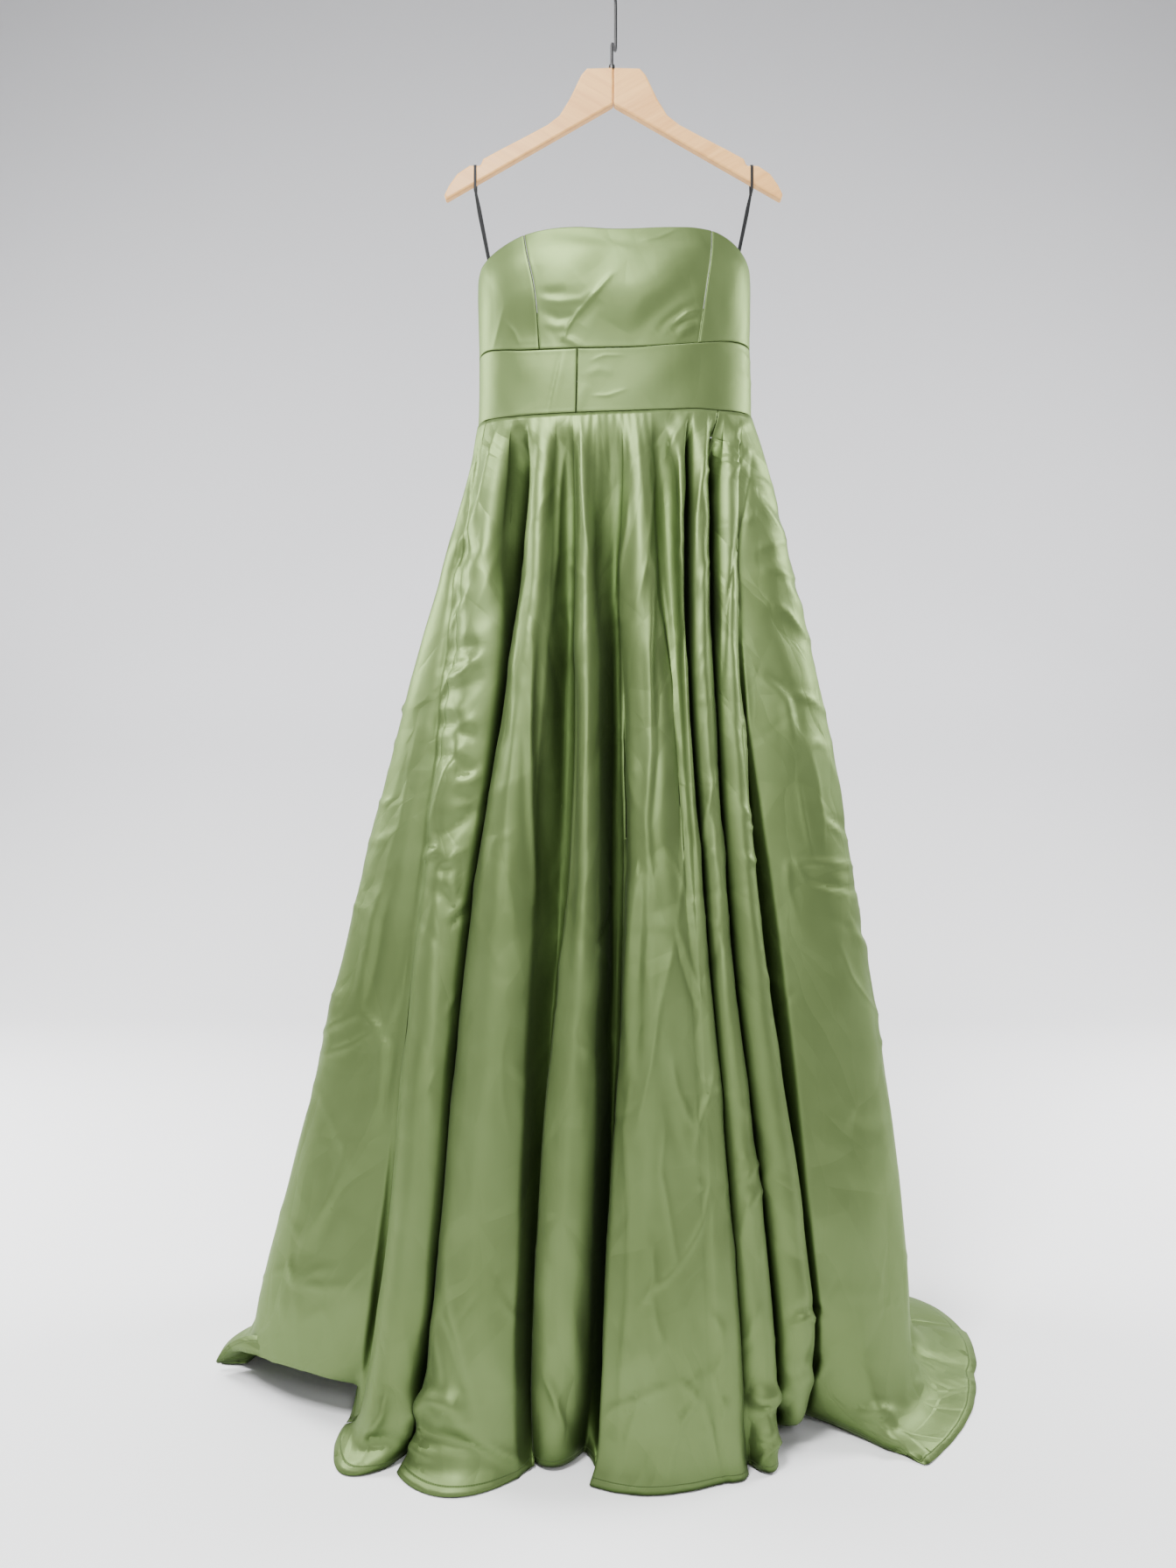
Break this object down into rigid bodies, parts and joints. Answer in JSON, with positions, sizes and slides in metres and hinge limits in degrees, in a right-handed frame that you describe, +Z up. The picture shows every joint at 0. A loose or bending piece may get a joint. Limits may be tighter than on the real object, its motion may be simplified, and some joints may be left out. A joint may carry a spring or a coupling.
{
  "type": "strapless ball gown on a wooden hanger",
  "caption": "Strapless satin ball gown with a fitted bodice, midriff band, deep pleated floor-length skirt and concealed back zip, hung by ribbon loops from a wooden hanger.",
  "frame": {"origin": "seat inside the top of the hook's bend, where a rod carries the hanger", "axes": "+Z up, the gown's front faces -Y, +X is to the right of someone who looks at the front"},
  "size_m": [0.986, 0.6643, 1.7754],
  "materials": {
    "satin": "sage green duchess satin, smooth with a soft broad sheen",
    "ribbon": "black satin ribbon",
    "zip_tape": "dyed woven zip tape",
    "zip_metal": "enamelled to match the cloth",
    "wood": "pale sanded wood with a thin clear coat",
    "black_metal": "black coated wire"
  },
  "bodies": {
    "gown": {"bodice_front": "satin", "bodice_side_left": "satin", "bodice_side_right": "satin", "bodice_back_left": "satin", "bodice_back_right": "satin", "midriff_front_left": "satin", "midriff_front_right": "satin", "midriff_back_left": "satin", "midriff_back_right": "satin", "skirt_front": "satin", "skirt_back_left": "satin", "skirt_back_right": "satin", "loop_left": "ribbon", "loop_right": "ribbon", "zip_tape": "zip_tape", "zip_slider": "zip_metal", "hanger_arm_left": "wood", "hanger_arm_right": "wood", "hanger_collar": "black_metal", "hanger_hook": "black_metal"},
    "zip_pull": {"zip_pull": "zip_metal"}
  },
  "joints": [
    {"name": "pull_swing", "type": "hinge", "parent": "gown", "child": "zip_pull", "pos_m": [0, 0.07243, -0.412], "axis": [1, 0, 0], "range_deg": [0, 150]}
  ]
}
